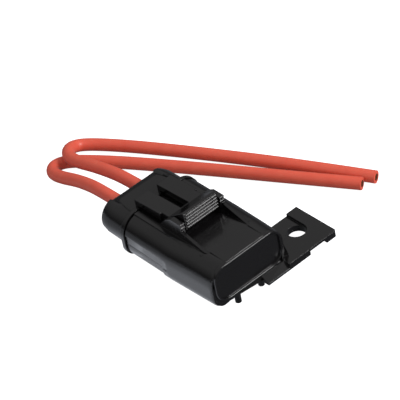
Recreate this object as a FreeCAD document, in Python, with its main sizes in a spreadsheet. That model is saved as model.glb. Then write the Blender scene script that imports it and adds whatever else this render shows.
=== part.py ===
import FreeCAD, Part
import math
import os
import re
import Sketcher

# Inline holder for one blade fuse
#
# A moulded housing carries two leads, two terminals and the fuse. A cap slides over it from
# the front, seals on a ring behind its rim and is held by a rocking latch whose two prongs
# hook behind the housing's collar. A lug on the cap's side takes one fixing screw.
#
# Datum: x = 0 is the flat front face of the cap, y = 0 the middle of its width and z = 0 the
# middle of its height. +X points from the leads to the front, +Y to the lug, +Z up.
# All sizes are in millimetres.

Vector = FreeCAD.Vector

SIZES = {
    # cap
    "cap_length": 42.2,
    "cap_width": 33.8,
    "cap_height": 16.0,
    "nose_width": 32.4,
    "taper_length": 21.5,
    "nose_wall": 1.8,
    "nose_round": 0.7,
    "cavity_width": 29.6,
    "cavity_height": 12.6,
    "shoulder_width": 22.4,
    "shoulder_depth": 1.3,
    "shoulder_length": 17.5,
    "bead_width": 28.9,
    "bead_height": 15.3,
    "bead_corner": 4.8,
    "bead_thickness": 0.8,
    "bead_rise": 0.45,
    "seam_width": 0.35,
    "seam_depth": 0.5,
    "seam_drop": 2.2,
    "seam_reach": 18.5,
    # latch bay, cheeks and fins on top of the cap
    "bay_width": 18.2,
    "bay_depth": 0.6,
    "cheek_length": 11.6,
    "cheek_rise": 5.9,
    "cheek_thickness": 1.9,
    "fin_length": 12.0,
    "fin_rise": 3.0,
    "fin_thickness": 1.1,
    "notch_radius": 0.35,
    # fixing lug and feet
    "lug_margin": 8.6,
    "lug_length": 19.1,
    "lug_overhang": 3.3,
    "lug_thickness": 2.5,
    "lug_drop": 6.5,
    "lug_lip": 4.5,
    "hole_diameter": 7.4,
    "hole_setback": 6.1,
    "hole_reach": 26.4,
    "seat_width": 9.0,
    "seat_depth": 1.0,
    "relief_width": 7.4,
    "relief_length": 4.0,
    "relief_depth": 1.6,
    "lug_corner": 0.8,
    "web_width": 9.6,
    "web_inset": 2.4,
    "web_height": 4.5,
    "web_slope": 2.0,
    "foot_diameter": 2.2,
    "foot_length": 4.0,
    "foot_spacing": 10.2,
    "foot_setback": 1.9,
    # latch
    "latch_gap": 0.5,
    "latch_thickness": 2.0,
    "latch_rise": 2.5,
    "prong_width": 6.2,
    "prong_gap": 3.6,
    "prong_length": 15.2,
    "hook_length": 1.4,
    "hook_gap": 0.2,
    "hook_clearance": 0.15,
    "grip_height": 6.1,
    "grip_land": 1.3,
    "grip_base": 2.3,
    "rib_pitch": 1.22,
    "rib_radius": 0.42,
    "rib_length": 13.4,
    "pivot_diameter": 2.2,
    "pivot_setback": 5.8,
    "pivot_height": 1.6,
    "pivot_seat": 1.2,
    "pivot_clearance": 0.1,
    # housing
    "rim_gap": 0.25,
    "collar_thickness": 1.05,
    "shell_length": 13.7,
    "shell_width": 31.6,
    "shell_height": 13.2,
    "shell_draft": 1.4,
    "tail_round": 1.5,
    "ridge_width": 21.0,
    "ridge_tail_width": 17.4,
    "ridge_rise": 0.2,
    "slide_gap": 0.3,
    "slot_depth": 4.0,
    "slot_gap": 0.15,
    "chamber_gap": 0.05,
    "exit_spacing": 9.8,
    "bore_diameter": 6.8,
    # sealing ring round the housing
    "ring_setback": 1.2,
    "ring_length": 4.0,
    "ring_thickness": 1.15,
    "ring_gap": 0.12,
    "ring_groove": 0.4,
    "fit_gap": 0.03,
    # fuse
    "fuse_width": 19.1,
    "fuse_thickness": 5.1,
    "fuse_length": 12.0,
    "fuse_headroom": 4.2,
    "fuse_head_length": 4.2,
    "fuse_waist_width": 18.3,
    "fuse_waist_thickness": 3.8,
    "blade_inset": 0.6,
    "blade_width": 5.2,
    "blade_thickness": 0.65,
    "blade_length": 6.5,
    "blade_root": 9.0,
    "link_width": 1.4,
    # terminals
    "strip_thickness": 0.6,
    "socket_width": 6.8,
    "socket_height": 3.4,
    "socket_length": 7.6,
    "socket_setback": 0.6,
    "spring_length": 3.0,
    "barrel_gap": 1.6,
    "core_barrel_length": 4.6,
    "cover_barrel_length": 3.0,
    # leads and their seals
    "lead_diameter": 4.0,
    "core_diameter": 2.6,
    "seal_setback": 1.0,
    "seal_length": 7.0,
    "seal_clearance": 0.05,
    "seal_rib": 0.5,
}

doc = FreeCAD.newDocument("inline_fuse_holder")
sheet = doc.addObject("Spreadsheet::Sheet", "sizes")
for row, (name, value) in enumerate(SIZES.items(), 1):
    sheet.set(f"A{row}", name)
    sheet.set(f"B{row}", str(value))
    sheet.setAlias(f"B{row}", name)
doc.recompute()

# Places along the length, worked out from the sizes
RIM = "(-cap_length)"
COLLAR_FRONT = "(-cap_length - rim_gap)"
COLLAR_REAR = "(-cap_length - rim_gap - collar_thickness)"
TAIL = "(-cap_length - rim_gap - collar_thickness - shell_length)"
FUSE_FRONT = "(-nose_wall - fuse_headroom)"
FUSE_SEAT = "(-nose_wall - fuse_headroom - fuse_length)"
SPIGOT_FRONT = "(-nose_wall - fuse_headroom - fuse_length + slot_depth)"
SOCKET_FRONT = "(-nose_wall - fuse_headroom - fuse_length - socket_setback)"
SOCKET_REAR = "(-nose_wall - fuse_headroom - fuse_length - socket_setback - socket_length)"
CHAMBER_REAR = f"({SOCKET_REAR} - chamber_gap)"
CORE_BARREL = f"({SOCKET_REAR} - barrel_gap)"
COVER_BARREL = f"({CORE_BARREL} - core_barrel_length - barrel_gap)"
HOOK_FRONT = f"({COLLAR_REAR} - hook_gap)"
GRIP_FRONT = f"({HOOK_FRONT} + prong_length + cheek_length - 2.9)"
PIVOT = f"({GRIP_FRONT} - pivot_setback)"

# Heights
TOP = "(cap_height / 2)"
LUG_TOP = "(-lug_drop)"
LUG_UNDERSIDE = "(-lug_drop - lug_thickness)"
PRONG_TOP = "(cap_height / 2 + latch_rise)"
GRIP_TOP = "(cap_height / 2 + latch_rise + grip_height)"
PIVOT_AXIS = "(cap_height / 2 + pivot_height)"

# Places across the width
LUG_REACH = "(hole_reach + lug_margin)"
BLADE_PLACE = "(fuse_width / 2 - blade_inset - blade_width / 2)"
EXIT_PLACE = "(exit_spacing / 2)"
CHEEK_INSIDE = "(bay_width / 2 - cheek_thickness + 0.5)"
GRIP_SIDE = f"({CHEEK_INSIDE} - latch_gap)"


def bound(text):
    """Point every size name in an expression at the sheet."""
    return re.sub(r"[a-z_]+", lambda word: "sizes." + word.group() if word.group() in SIZES else word.group(), text)


def size(text):
    """The value of an expression, in millimetres."""
    return float(sheet.evalExpression(text))


class Piece:
    """A PartDesign body whose sketches and features follow the sheet."""

    def __init__(self, label):
        self.body = doc.addObject("PartDesign::Body", label)
        self.body.Label = label

    def origin(self, role):
        return next(item for item in self.body.Origin.OriginFeatures if item.Role == role)

    def sketch(self, role, offset="0"):
        drawing = self.body.newObject("Sketcher::SketchObject", "outline")
        drawing.AttachmentSupport = [(self.origin(role), "")]
        drawing.MapMode = "FlatFace"
        drawing.setExpression("AttachmentOffset.Base.z", bound(offset))
        return drawing

    def pad(self, drawing, length, side="One side", back=False):
        feature = self.body.newObject("PartDesign::Pad", "pad")
        return self.extrude(feature, drawing, length, side, back)

    def pocket(self, drawing, length, side="One side", back=False):
        feature = self.body.newObject("PartDesign::Pocket", "pocket")
        return self.extrude(feature, drawing, length, side, back)

    def extrude(self, feature, drawing, length, side, back):
        feature.Profile = drawing
        feature.setExpression("Length", bound(length))
        feature.SideType = side
        feature.Reversed = back
        doc.recompute()
        return feature

    def loft(self, first, second, kind="PartDesign::AdditiveLoft"):
        feature = self.body.newObject(kind, "loft")
        feature.Profile = first
        feature.Sections = [second]
        feature.Ruled = True
        doc.recompute()
        return feature

    def mirror(self, features, role):
        feature = self.body.newObject("PartDesign::Mirrored", "mirror")
        feature.Originals = features
        feature.MirrorPlane = (self.origin(role), [""])
        self.body.Tip = feature
        doc.recompute()
        return feature

    def repeat(self, features, axis, pitch, copies):
        feature = self.body.newObject("PartDesign::LinearPattern", "row")
        feature.Originals = features
        feature.Direction = (self.origin(axis), [""])
        feature.Mode = "Spacing"
        feature.setExpression("Offset", bound(pitch))
        feature.Occurrences = copies
        self.body.Tip = feature
        doc.recompute()
        return feature

    def round_edges(self, radius, test):
        """Round the edges of the piece as it stands that pass the test."""
        base = self.body.Tip
        names = [f"Edge{index}" for index, edge in enumerate(base.Shape.Edges, 1) if test(edge)]
        feature = self.body.newObject("PartDesign::Fillet", "round")
        feature.Base = (base, names)
        feature.setExpression("Radius", bound(radius))
        doc.recompute()
        return feature


def polygon(drawing, corners):
    """Closed outline through corners given as pairs of expressions."""
    points = [Vector(size(across), size(up), 0) for across, up in corners]
    count = len(points)
    for index in range(count):
        drawing.addGeometry(Part.LineSegment(points[index], points[(index + 1) % count]))
    for index in range(count):
        drawing.addConstraint(Sketcher.Constraint("Coincident", index, 2, (index + 1) % count, 1))
    for index, (across, up) in enumerate(corners):
        place(drawing, index, 1, across, up)
    return drawing


def place(drawing, geometry, end, across, up):
    """Tie one point of a sketch to two expressions measured from the origin."""
    for kind, axis, text in (("DistanceX", -2, across), ("DistanceY", -1, up)):
        value = size(text)
        if abs(value) < 1e-9:
            drawing.addConstraint(Sketcher.Constraint("PointOnObject", geometry, end, axis))
        else:
            key = drawing.addConstraint(Sketcher.Constraint(kind, -1, 1, geometry, end, value))
            drawing.setExpression(f"Constraints[{key}]", bound(text))


def box(drawing, left, right, low, high):
    return polygon(drawing, [(left, low), (right, low), (right, high), (left, high)])


def circle(drawing, across, up, diameter):
    centre = Vector(size(across), size(up), 0)
    ring = drawing.addGeometry(Part.Circle(centre, Vector(0, 0, 1), size(diameter) / 2))
    place(drawing, ring, 3, across, up)
    key = drawing.addConstraint(Sketcher.Constraint("Diameter", ring, size(diameter)))
    drawing.setExpression(f"Constraints[{key}]", bound(diameter))
    return drawing


def obround(drawing, width, height):
    """Flat top and bottom with half-round ends, centred on the origin."""
    radius = size(height) / 2
    reach = size(width) / 2 - radius
    up = Vector(0, 0, 1)
    right_ring = Part.Circle(Vector(reach, 0, 0), up, radius)
    left_ring = Part.Circle(Vector(-reach, 0, 0), up, radius)
    right = drawing.addGeometry(Part.ArcOfCircle(right_ring, -math.pi / 2, math.pi / 2))
    top = drawing.addGeometry(Part.LineSegment(Vector(reach, radius, 0), Vector(-reach, radius, 0)))
    left = drawing.addGeometry(Part.ArcOfCircle(left_ring, math.pi / 2, 3 * math.pi / 2))
    bottom = drawing.addGeometry(Part.LineSegment(Vector(-reach, -radius, 0), Vector(reach, -radius, 0)))
    join_smoothly(drawing, [right, top, left, bottom])
    place(drawing, right, 3, f"({width} - {height}) / 2", "0")
    place(drawing, left, 3, f"-({width} - {height}) / 2", "0")
    set_radius(drawing, [right, left], f"{height} / 2")
    return drawing


def rounded(drawing, width, height, corner):
    """Rectangle with round corners, centred on the origin."""
    radius = size(corner)
    across = size(width) / 2 - radius
    rise = size(height) / 2 - radius
    up = Vector(0, 0, 1)
    corners = [(across, rise), (-across, rise), (-across, -rise), (across, -rise)]
    chain = []
    arcs = []
    for index, (centre_x, centre_y) in enumerate(corners):
        start = index * math.pi / 2
        ring = Part.Circle(Vector(centre_x, centre_y, 0), up, radius)
        arcs.append(drawing.addGeometry(Part.ArcOfCircle(ring, start, start + math.pi / 2)))
        next_x, next_y = corners[(index + 1) % 4]
        step = Vector(radius * math.cos(start + math.pi / 2), radius * math.sin(start + math.pi / 2), 0)
        line = Part.LineSegment(Vector(centre_x, centre_y, 0) + step, Vector(next_x, next_y, 0) + step)
        chain += [arcs[-1], drawing.addGeometry(line)]
    join_smoothly(drawing, chain)
    for arc, (sign_x, sign_y) in zip(arcs, (("", ""), ("-", ""), ("-", "-"), ("", "-"))):
        place(drawing, arc, 3, f"{sign_x}({width} / 2 - {corner})", f"{sign_y}({height} / 2 - {corner})")
    set_radius(drawing, arcs, corner)
    return drawing


def join_smoothly(drawing, chain):
    for index, item in enumerate(chain):
        following = chain[(index + 1) % len(chain)]
        drawing.addConstraint(Sketcher.Constraint("Tangent", item, 2, following, 1))


def set_radius(drawing, arcs, text):
    key = drawing.addConstraint(Sketcher.Constraint("Radius", arcs[0], size(text)))
    drawing.setExpression(f"Constraints[{key}]", bound(text))
    for arc in arcs[1:]:
        drawing.addConstraint(Sketcher.Constraint("Equal", arcs[0], arc))


def flat_at(edge, text):
    """True where an edge lies in the plane across the length at this place."""
    place_x = size(text)
    return abs(edge.BoundBox.XMin - place_x) < 1e-4 and abs(edge.BoundBox.XMax - place_x) < 1e-4


# Cap

def make_cap():
    cap = Piece("cap")
    body_end = "(-taper_length)"
    skirt = obround(cap.sketch("YZ_Plane", RIM), "cap_width", "cap_height")
    cap.pad(skirt, "cap_length - taper_length")
    wide = obround(cap.sketch("YZ_Plane", body_end), "cap_width", "cap_height")
    nose = obround(cap.sketch("YZ_Plane"), "nose_width", "cap_height")
    cap.loft(wide, nose)
    cap.round_edges("nose_round", lambda edge: flat_at(edge, "0"))
    add_shoulders(cap)
    add_bead(cap)
    add_lug(cap)
    add_feet(cap)
    add_cheeks(cap)
    cut_bay(cap)
    cut_cavity(cap)
    cut_lug(cap)
    cut_seams(cap)
    return cap.body


def add_shoulders(cap):
    """The flat top reaches past the round flanks, then narrows towards the fins' tips."""
    half = "(shoulder_width / 2)"
    neck = "(bay_width / 2)"
    corner = "(-cap_length + shoulder_length)"
    tip = f"({GRIP_FRONT} + fin_length - 1)"
    plan = polygon(cap.sketch("XY_Plane", f"{TOP} - shoulder_depth"), [
        (RIM, f"-{half}"), (corner, f"-{half}"), (tip, f"-{neck}"),
        (tip, neck), (corner, half), (RIM, half)])
    cap.pad(plan, "shoulder_depth")


def add_bead(cap):
    """Raised rim round the front face."""
    plate = rounded(cap.sketch("YZ_Plane", "-bead_thickness"), "bead_width", "bead_height", "bead_corner")
    cap.pad(plate, "bead_thickness + bead_rise")
    cap.round_edges("bead_rise * 0.6", lambda edge: flat_at(edge, "bead_rise"))
    panel = rounded(cap.sketch("YZ_Plane", "bead_rise"), "(bead_width - 2 * bead_thickness)",
                    "(bead_height - 2 * bead_thickness)", "(bead_corner - bead_thickness)")
    cap.pocket(panel, "bead_rise * 1.6")


def add_lug(cap):
    """Fixing lug, the square flank that carries it and the web under the front face."""
    rear = "(lug_overhang - lug_length)"
    flank = "(nose_width / 2)"
    inner = "(cap_width / 4)"
    plate = box(cap.sketch("XY_Plane", LUG_UNDERSIDE), rear, "lug_overhang", inner, LUG_REACH)
    cap.pad(plate, "lug_thickness")
    block = box(cap.sketch("XY_Plane", LUG_UNDERSIDE), rear, "-nose_round", inner, flank)
    cap.pad(block, "lug_drop + lug_thickness")
    web_left = "(nose_width / 2 - web_inset - web_width)"
    side = polygon(cap.sketch("XZ_Plane", f"-{web_left}"), [
        ("-foot_setback", LUG_UNDERSIDE), ("lug_overhang", LUG_UNDERSIDE),
        ("lug_overhang", f"{LUG_UNDERSIDE} + web_height"),
        ("0", f"{LUG_UNDERSIDE} + web_height + web_slope"),
        ("-foot_setback", f"{LUG_UNDERSIDE} + web_height + web_slope")])
    cap.pad(side, "web_width", back=True)


def add_feet(cap):
    """Two locating pegs under the front."""
    for sign in ("-", ""):
        peg = circle(cap.sketch("XY_Plane", f"-{TOP} - foot_length"), "-foot_setback",
                     f"{sign}foot_spacing / 2", "foot_diameter")
        cap.pad(peg, "foot_length + nose_wall / 2")


def add_cheeks(cap):
    """Cheeks beside the grip with two small ribs on their front edge, and a fin before each."""
    rear = f"({GRIP_FRONT} - cheek_length)"
    hump = polygon(cap.sketch("XZ_Plane", CHEEK_INSIDE), [
        (rear, f"{TOP} - bay_depth"), (rear, TOP),
        (f"{rear} + cheek_length * 0.34", f"{TOP} + cheek_rise * 0.7"),
        (f"{rear} + cheek_length * 0.6", f"{TOP} + cheek_rise"),
        (GRIP_FRONT, f"{TOP} + cheek_rise"), (GRIP_FRONT, f"{TOP} - bay_depth")])
    cheek = cap.pad(hump, "cheek_thickness")
    wedge = polygon(cap.sketch("XZ_Plane", f"{CHEEK_INSIDE} + cheek_thickness - fin_thickness"), [
        (GRIP_FRONT, f"{TOP} - bay_depth"), (GRIP_FRONT, f"{TOP} + fin_rise"),
        (f"{GRIP_FRONT} + fin_length", TOP), (f"{GRIP_FRONT} + fin_length", f"{TOP} - bay_depth")])
    fin = cap.pad(wedge, "fin_thickness")
    notch_low = circle(cap.sketch("XZ_Plane", CHEEK_INSIDE), GRIP_FRONT, f"{TOP} + fin_rise + 1.1",
                       "(2 * notch_radius)")
    low = cap.pad(notch_low, "cheek_thickness")
    notch_high = circle(cap.sketch("XZ_Plane", CHEEK_INSIDE), GRIP_FRONT,
                        f"{TOP} + fin_rise + 1.1 + rib_pitch * 1.2", "(2 * notch_radius)")
    high = cap.pad(notch_high, "cheek_thickness")
    cap.mirror([cheek, fin, low, high], "XZ_Plane")


def cut_bay(cap):
    """Shallow bay under the prongs, open at the rim, and the pivot bores in the cheeks."""
    half = f"({CHEEK_INSIDE})"
    floor = box(cap.sketch("XY_Plane", TOP), f"{RIM} - 1", f"{GRIP_FRONT} - cheek_length",
                "-bay_width / 2", "bay_width / 2")
    cap.pocket(floor, "bay_depth")
    well = box(cap.sketch("XY_Plane", TOP), f"{GRIP_FRONT} - cheek_length - 0.01", GRIP_FRONT, f"-{half}", half)
    cap.pocket(well, "bay_depth")
    bore = circle(cap.sketch("XZ_Plane"), PIVOT, PIVOT_AXIS, "(pivot_diameter + 2 * pivot_clearance)")
    cap.pocket(bore, f"2 * ({CHEEK_INSIDE} + pivot_seat)", "Symmetric")


def cut_cavity(cap):
    mouth = obround(cap.sketch("YZ_Plane", RIM), "cavity_width", "cavity_height")
    cap.pocket(mouth, "cap_length - nose_wall", back=True)


def cut_lug(cap):
    """Screw hole, the sunk seat round it and the relief under the front edge."""
    rear = "(lug_overhang - lug_length - 1)"
    hole_x = "(-hole_setback)"
    seat_outer = "(hole_reach + seat_width / 2)"
    seat = circle(cap.sketch("XY_Plane", LUG_TOP), hole_x, "hole_reach", "seat_width")
    cap.pocket(seat, "seat_depth")
    shelf = box(cap.sketch("XY_Plane", LUG_TOP), rear, hole_x, "(cap_width / 2 + 0.3)", seat_outer)
    cap.pocket(shelf, "seat_depth")
    hole = circle(cap.sketch("XY_Plane", LUG_UNDERSIDE), hole_x, "hole_reach", "hole_diameter")
    cap.pocket(hole, "lug_thickness", back=True)
    relief_left = f"({LUG_REACH} - lug_lip - relief_width)"
    relief = box(cap.sketch("XY_Plane", LUG_UNDERSIDE), "(lug_overhang - relief_length)", "(lug_overhang + 1)",
                 relief_left, f"({LUG_REACH} - lug_lip)")
    cap.pocket(relief, "relief_depth", back=True)
    corner_x = size("lug_overhang")
    corner_y = size(LUG_REACH)
    cap.round_edges("lug_corner", lambda edge: upright_at(edge, corner_x, corner_y))


def upright_at(edge, place_x, place_y):
    middle = edge.BoundBox.Center
    upright = edge.BoundBox.ZLength > 0.5 and edge.BoundBox.XLength < 1e-4
    return upright and abs(middle.x - place_x) < 1e-3 and abs(middle.y - place_y) < 1e-3


def cut_seams(cap):
    """Fine tool seam low on both flanks, from the rim to where the taper starts."""
    for sign in ("-", ""):
        strip = box(cap.sketch("XZ_Plane", f"{sign}(cap_width / 2 - seam_depth)"), f"{RIM} - 1",
                    f"{RIM} + seam_reach", "-seam_drop", "-seam_drop + seam_width")
        cap.pocket(strip, "2 * seam_depth", back=sign == "")


# Latch

def make_latch():
    """Rocking lever: two prongs with hooks behind, a ribbed grip in front, pivots between."""
    latch = Piece("latch")
    hook_rear = f"({HOOK_FRONT} - hook_length)"
    hook_low = "(shell_height / 2 + ridge_rise + hook_clearance)"
    prong_low = f"({PRONG_TOP} - latch_thickness)"
    ramp_foot = f"({GRIP_FRONT} - 8.4)"
    side = polygon(latch.sketch("XZ_Plane"), [
        (hook_rear, hook_low), (HOOK_FRONT, hook_low), (HOOK_FRONT, prong_low),
        (f"{PIVOT} - 2.2", prong_low), (f"{PIVOT} + 1.6", f"{TOP} + 0.5"),
        (f"{GRIP_FRONT} - 2.2", f"{TOP} + grip_base"), (GRIP_FRONT, f"{TOP} + grip_base"),
        (GRIP_FRONT, GRIP_TOP), (f"{GRIP_FRONT} - grip_land", GRIP_TOP),
        (ramp_foot, f"{PRONG_TOP} + 1"), (hook_rear, PRONG_TOP)])
    latch.pad(side, "2 * prong_width + prong_gap", "Symmetric")
    trim_latch(latch)
    ridge = circle(latch.sketch("XZ_Plane"), GRIP_FRONT, f"{TOP} + grip_base + rib_radius + 0.2",
                   "(2 * rib_radius)")
    rib = latch.pad(ridge, "rib_length", "Symmetric")
    latch.repeat([rib], "Z_Axis", "rib_pitch", 5)
    pin = circle(latch.sketch("XZ_Plane"), PIVOT, PIVOT_AXIS, "pivot_diameter")
    latch.pad(pin, f"2 * ({CHEEK_INSIDE} + pivot_seat - pivot_clearance)", "Symmetric")
    return latch.body


def trim_latch(latch):
    """Narrow the grip to pass between the cheeks and part the prongs."""
    shoulder = f"({GRIP_FRONT} - cheek_length - 0.5)"
    wide = "(prong_width + prong_gap / 2 + 1)"
    for sign in ("-", ""):
        flank = box(latch.sketch("XY_Plane"), shoulder, f"{GRIP_FRONT} + 2", f"{sign}{GRIP_SIDE}", f"{sign}{wide}")
        latch.pocket(flank, "4 * cap_height", "Symmetric")
    window = box(latch.sketch("XY_Plane"), f"{HOOK_FRONT} - hook_length - 1", f"{HOOK_FRONT} + prong_length",
                 "-prong_gap / 2", "prong_gap / 2")
    latch.pocket(window, "4 * cap_height", "Symmetric")


# Housing

def make_housing():
    housing = Piece("housing")
    neck = obround(housing.sketch("YZ_Plane", COLLAR_REAR), "shell_width", "shell_height")
    shell = housing.pad(neck, "shell_length", back=True)
    shell.setExpression("TaperAngle", bound("-atan(shell_draft / shell_length)"))
    doc.recompute()
    housing.round_edges("tail_round", lambda edge: flat_at(edge, TAIL))
    tail_top = "(shell_height / 2 - shell_draft + ridge_rise)"
    neck_top = "(shell_height / 2 + ridge_rise)"
    rear_x = f"({TAIL} + tail_round)"
    ridge_tail = box(housing.sketch("YZ_Plane", rear_x), "-ridge_tail_width / 2", "ridge_tail_width / 2",
                     "1", tail_top)
    ridge_neck = box(housing.sketch("YZ_Plane", COLLAR_REAR), "-ridge_width / 2", "ridge_width / 2",
                     "1", neck_top)
    housing.loft(ridge_tail, ridge_neck)
    collar = obround(housing.sketch("YZ_Plane", COLLAR_REAR), "cap_width", "cap_height")
    housing.pad(collar, "collar_thickness")
    spigot = obround(housing.sketch("YZ_Plane", COLLAR_FRONT), "(cavity_width - 2 * slide_gap)",
                     "(cavity_height - 2 * slide_gap)")
    housing.pad(spigot, f"{SPIGOT_FRONT} - {COLLAR_FRONT}")
    cut_ring_groove(housing)
    cut_chambers(housing)
    return housing.body


def cut_ring_groove(housing):
    """Groove round the spigot that holds the sealing ring."""
    front = f"({COLLAR_FRONT} + ring_setback + ring_length)"
    outer = obround(housing.sketch("YZ_Plane", front), "(cavity_width + 4)", "(cavity_height + 4)")
    housing.pocket(outer, "ring_length")
    core = obround(housing.sketch("YZ_Plane", front), "(cavity_width - 2 * ring_gap - 2 * ring_thickness)",
                   "(cavity_height - 2 * ring_gap - 2 * ring_thickness)")
    housing.pad(core, "ring_length", back=True)


def cut_chambers(housing):
    """Fuse slot in front, a chamber behind each blade and a round way out for each lead."""
    half_width = "(fuse_waist_width / 2 + slot_gap)"
    half_height = "(fuse_waist_thickness / 2 + slot_gap)"
    slot = box(housing.sketch("YZ_Plane", SPIGOT_FRONT), f"-{half_width}", half_width,
               f"-{half_height}", half_height)
    housing.pocket(slot, "slot_depth")
    for sign in ("-", ""):
        middle = f"({sign}{BLADE_PLACE})"
        chamber = box(housing.sketch("YZ_Plane", FUSE_SEAT), f"{middle} - socket_width / 2 - chamber_gap",
                      f"{middle} + socket_width / 2 + chamber_gap", "-socket_height / 2 - chamber_gap",
                      "socket_height / 2 + chamber_gap")
        housing.pocket(chamber, f"{FUSE_SEAT} - {CHAMBER_REAR}")
        bore = circle(housing.sketch("YZ_Plane", TAIL), f"{sign}{EXIT_PLACE}", "0", "bore_diameter")
        housing.pocket(bore, f"{CHAMBER_REAR} - {TAIL}", back=True)


# Sealing ring

def make_ring():
    ring = Piece("sealing_ring")
    rear = f"({COLLAR_FRONT} + ring_setback)"
    outer = obround(ring.sketch("YZ_Plane", rear), "(cavity_width - 2 * ring_gap)", "(cavity_height - 2 * ring_gap)")
    ring.pad(outer, "ring_length")
    for share in ("0.36", "0.76"):
        place_x = f"({rear} + ring_length * {share})"
        wide = obround(ring.sketch("YZ_Plane", place_x), "(cavity_width + 4)", "(cavity_height + 4)")
        ring.pocket(wide, "ring_length * 0.12")
        core = obround(ring.sketch("YZ_Plane", place_x), "(cavity_width - 2 * ring_gap - 2 * ring_groove)",
                       "(cavity_height - 2 * ring_gap - 2 * ring_groove)")
        ring.pad(core, "ring_length * 0.12", back=True)
    hole = obround(ring.sketch("YZ_Plane", rear), "(cavity_width - 2 * ring_gap - 2 * ring_thickness + 2 * fit_gap)",
                   "(cavity_height - 2 * ring_gap - 2 * ring_thickness + 2 * fit_gap)")
    ring.pocket(hole, "ring_length", back=True)
    return ring.body


# Fuse

def make_fuse_element():
    """One stamping: two blades and the thin link between them."""
    element = Piece("fuse_element")
    blade_rear = f"({FUSE_SEAT} - blade_length)"
    root = f"({FUSE_SEAT} + blade_root)"
    outside = "(fuse_width / 2 - blade_inset)"
    inside = f"({outside} - blade_width)"
    plan = polygon(element.sketch("XY_Plane"), [
        (blade_rear, f"-{outside}"), (root, f"-{outside}"), (root, f"-{inside}"),
        (f"{root} - 2", f"-{inside}"), (f"{root} - 4.5", f"-{inside} + 1.2"), (f"{root} - 4.5", f"{inside} - 1.2"),
        (f"{root} - 2", inside), (root, inside), (root, outside), (blade_rear, outside), (blade_rear, inside),
        (f"{root} - 2 - link_width", inside), (f"{root} - 4.5 - link_width", f"{inside} - 1.2"),
        (f"{root} - 4.5 - link_width", f"-{inside} + 1.2"), (f"{root} - 2 - link_width", f"-{inside}"),
        (blade_rear, f"-{inside}")])
    element.pad(plan, "blade_thickness", "Symmetric")
    return element.body


def make_fuse_body():
    """Moulded block with a wider head, hollow where the link runs."""
    block = Piece("fuse_body")
    waist = box(block.sketch("YZ_Plane", FUSE_SEAT), "-fuse_waist_width / 2", "fuse_waist_width / 2",
                "-fuse_waist_thickness / 2", "fuse_waist_thickness / 2")
    block.pad(waist, "fuse_length - fuse_head_length")
    head = box(block.sketch("YZ_Plane", f"{FUSE_FRONT} - fuse_head_length"), "-fuse_width / 2", "fuse_width / 2",
               "-fuse_thickness / 2", "fuse_thickness / 2")
    block.pad(head, "fuse_head_length")
    block.round_edges("0.5", lambda edge: flat_at(edge, FUSE_FRONT))
    outside = "(fuse_width / 2 - blade_inset)"
    pocket = box(block.sketch("YZ_Plane", FUSE_SEAT), f"-{outside}", outside,
                 "-blade_thickness / 2", "blade_thickness / 2")
    block.pocket(pocket, "blade_root", back=True)
    return block.body


# Terminals

def make_terminal(label, sign):
    """Socket for a blade, two spring lips, a neck and the two crimped barrels."""
    terminal = Piece(label)
    middle = f"({sign}{BLADE_PLACE})"
    exit_y = f"({sign}{EXIT_PLACE})"
    outer = box(terminal.sketch("YZ_Plane", SOCKET_REAR), f"{middle} - socket_width / 2",
                f"{middle} + socket_width / 2", "-socket_height / 2", "socket_height / 2")
    terminal.pad(outer, "socket_length")
    inner = box(terminal.sketch("YZ_Plane", SOCKET_REAR), f"{middle} - socket_width / 2 + strip_thickness",
                f"{middle} + socket_width / 2 - strip_thickness", "-socket_height / 2 + strip_thickness",
                "socket_height / 2 - strip_thickness")
    terminal.pocket(inner, "socket_length", back=True)
    for up in ("-", ""):
        lip_side = f"({middle} - blade_width / 2 + 0.4)"
        lip = polygon(terminal.sketch("XZ_Plane", f"-{lip_side}"), [
            (SOCKET_FRONT, f"{up}(socket_height / 2 - strip_thickness)"),
            (f"{SOCKET_FRONT} - spring_length / 2", f"{up}(blade_thickness / 2)"),
            (f"{SOCKET_FRONT} - spring_length", f"{up}(socket_height / 2 - strip_thickness)"),
            (f"{SOCKET_FRONT} - spring_length / 2", f"{up}(socket_height / 2 - strip_thickness / 2)")])
        terminal.pad(lip, "blade_width - 0.8", back=True)
    neck = box(terminal.sketch("XY_Plane", "-socket_height / 2"), f"{COVER_BARREL} - cover_barrel_length",
               f"{SOCKET_REAR} + 0.5", f"{exit_y} - core_diameter / 2", f"{exit_y} + core_diameter / 2")
    terminal.pad(neck, "strip_thickness")
    for front, length, diameter in ((CORE_BARREL, "core_barrel_length", "core_diameter"),
                                    (COVER_BARREL, "cover_barrel_length", "lead_diameter")):
        barrel = circle(terminal.sketch("YZ_Plane", front), exit_y, "0", f"({diameter} + 2 * strip_thickness)")
        terminal.pad(barrel, length, back=True)
    core_way = f"({CORE_BARREL} + barrel_gap / 2)"
    for front, length, diameter in ((core_way, f"{core_way} - {COVER_BARREL}", "core_diameter"),
                                    (COVER_BARREL, "cover_barrel_length", "lead_diameter")):
        way = circle(terminal.sketch("YZ_Plane", front), exit_y, "0", f"({diameter} + 2 * fit_gap)")
        terminal.pocket(way, length)
    return terminal.body


# Lead seals

def make_lead_seal(label, sign):
    """Ribbed grommet round a lead, inside the housing's rear bore."""
    seal = Piece(label)
    rear = f"({TAIL} + seal_setback)"
    outer = "(bore_diameter - 2 * seal_clearance)"
    body = circle(seal.sketch("YZ_Plane", rear), f"{sign}{EXIT_PLACE}", "0", f"({outer} - 2 * seal_rib)")
    seal.pad(body, "seal_length")
    for share in ("0", "0.4", "0.8"):
        rib = circle(seal.sketch("YZ_Plane", f"{rear} + seal_length * {share}"), f"{sign}{EXIT_PLACE}", "0", outer)
        seal.pad(rib, "seal_length * 0.2")
    way = circle(seal.sketch("YZ_Plane", rear), f"{sign}{EXIT_PLACE}", "0", "(lead_diameter + 2 * fit_gap)")
    seal.pocket(way, "seal_length", back=True)
    return seal.body


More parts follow.
